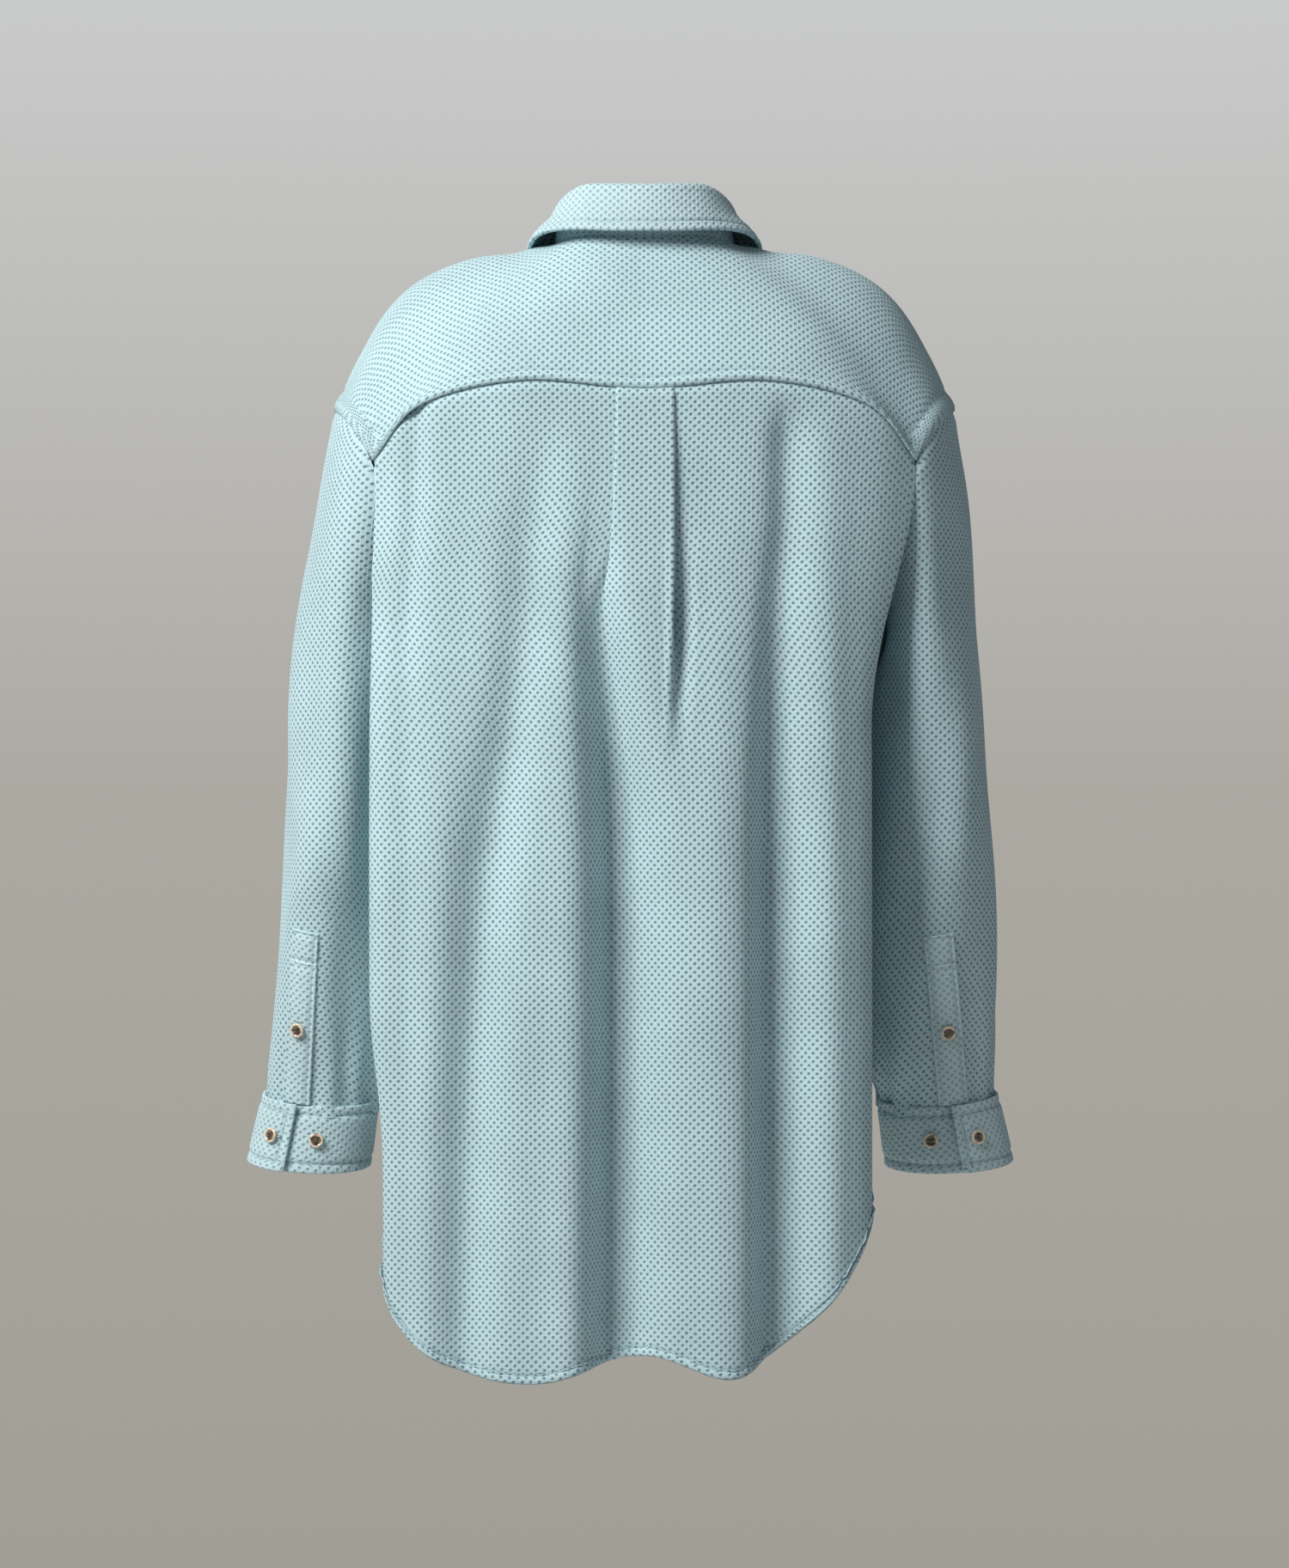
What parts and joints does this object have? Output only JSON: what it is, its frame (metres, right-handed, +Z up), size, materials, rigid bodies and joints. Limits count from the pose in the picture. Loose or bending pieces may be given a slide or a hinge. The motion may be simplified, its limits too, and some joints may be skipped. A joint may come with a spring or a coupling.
{
  "type": "long-sleeved button shirt gown",
  "caption": "Oversized long-sleeved button shirt gown in pale aqua honeycomb cotton, with collar, back yoke, box pleat, buttoned cuffs and shirt-tail hem.",
  "frame": {"origin": "centre of the neck opening, level with the neck seam at the nape", "axes": "+Z up along the wearer's spine, +Y towards the wearer's front, +X towards the wearer's right"},
  "size_m": [0.5792, 0.2291, 0.8888],
  "materials": {
    "honeycomb_cotton": "matt open honeycomb weave",
    "cloth_facing": "matt inside face of the same weave",
    "interfacing": "matt non-woven stiffening",
    "horn_buttons": "polished horn-like streaks",
    "sewing_thread": "twisted cotton thread",
    "label_satin": "woven satin, blank"
  },
  "bodies": {
    "torso": {"back_panel": "honeycomb_cotton", "care_label": "label_satin", "collar_button": "horn_buttons", "collar_button_thread": "sewing_thread", "collar_leaf_interfacing": "interfacing", "collar_leaf_under": "cloth_facing", "collar_leaf_upper": "honeycomb_cotton", "collar_stand_inner": "cloth_facing", "collar_stand_interfacing": "interfacing", "collar_stand_outer": "honeycomb_cotton", "front_band_interfacing": "interfacing", "front_band_top": "honeycomb_cotton", "front_band_under": "cloth_facing", "front_button_1": "horn_buttons", "front_button_1_thread": "sewing_thread", "front_button_2": "horn_buttons", "front_button_2_thread": "sewing_thread", "front_button_3": "horn_buttons", "front_button_3_thread": "sewing_thread", "front_button_4": "horn_buttons", "front_button_4_thread": "sewing_thread", "front_button_5": "horn_buttons", "front_button_5_thread": "sewing_thread", "front_button_6": "horn_buttons", "front_button_6_thread": "sewing_thread", "front_panel_left": "honeycomb_cotton", "front_panel_right": "honeycomb_cotton", "hem_back": "cloth_facing", "hem_front_left": "cloth_facing", "hem_front_right": "cloth_facing", "neck_label": "label_satin", "yoke_lining": "cloth_facing", "yoke_outer": "honeycomb_cotton"},
    "sleeve_left": {"cuff_button_left_inner": "horn_buttons", "cuff_button_left_inner_thread": "sewing_thread", "cuff_button_left_outer": "horn_buttons", "cuff_button_left_outer_thread": "sewing_thread", "cuff_left_inner": "cloth_facing", "cuff_left_interfacing": "interfacing", "cuff_left_outer": "honeycomb_cotton", "placket_button_left": "horn_buttons", "placket_button_left_thread": "sewing_thread", "sleeve_left": "honeycomb_cotton", "sleeve_placket_left_under": "cloth_facing", "sleeve_placket_left_upper": "honeycomb_cotton"},
    "sleeve_right": {"cuff_button_right_inner": "horn_buttons", "cuff_button_right_inner_thread": "sewing_thread", "cuff_button_right_outer": "horn_buttons", "cuff_button_right_outer_thread": "sewing_thread", "cuff_right_inner": "cloth_facing", "cuff_right_interfacing": "interfacing", "cuff_right_outer": "honeycomb_cotton", "placket_button_right": "horn_buttons", "placket_button_right_thread": "sewing_thread", "sleeve_placket_right_under": "cloth_facing", "sleeve_placket_right_upper": "honeycomb_cotton", "sleeve_right": "honeycomb_cotton"}
  },
  "joints": [
    {"name": "shoulder_left", "type": "hinge", "parent": "torso", "child": "sleeve_left", "pos_m": [-0.232, 0.004, -0.126], "axis": [0, 1, 0], "range_deg": [0, 60]},
    {"name": "shoulder_right", "type": "hinge", "parent": "torso", "child": "sleeve_right", "pos_m": [0.232, 0.004, -0.126], "axis": [0, -1, 0], "range_deg": [0, 60]}
  ]
}
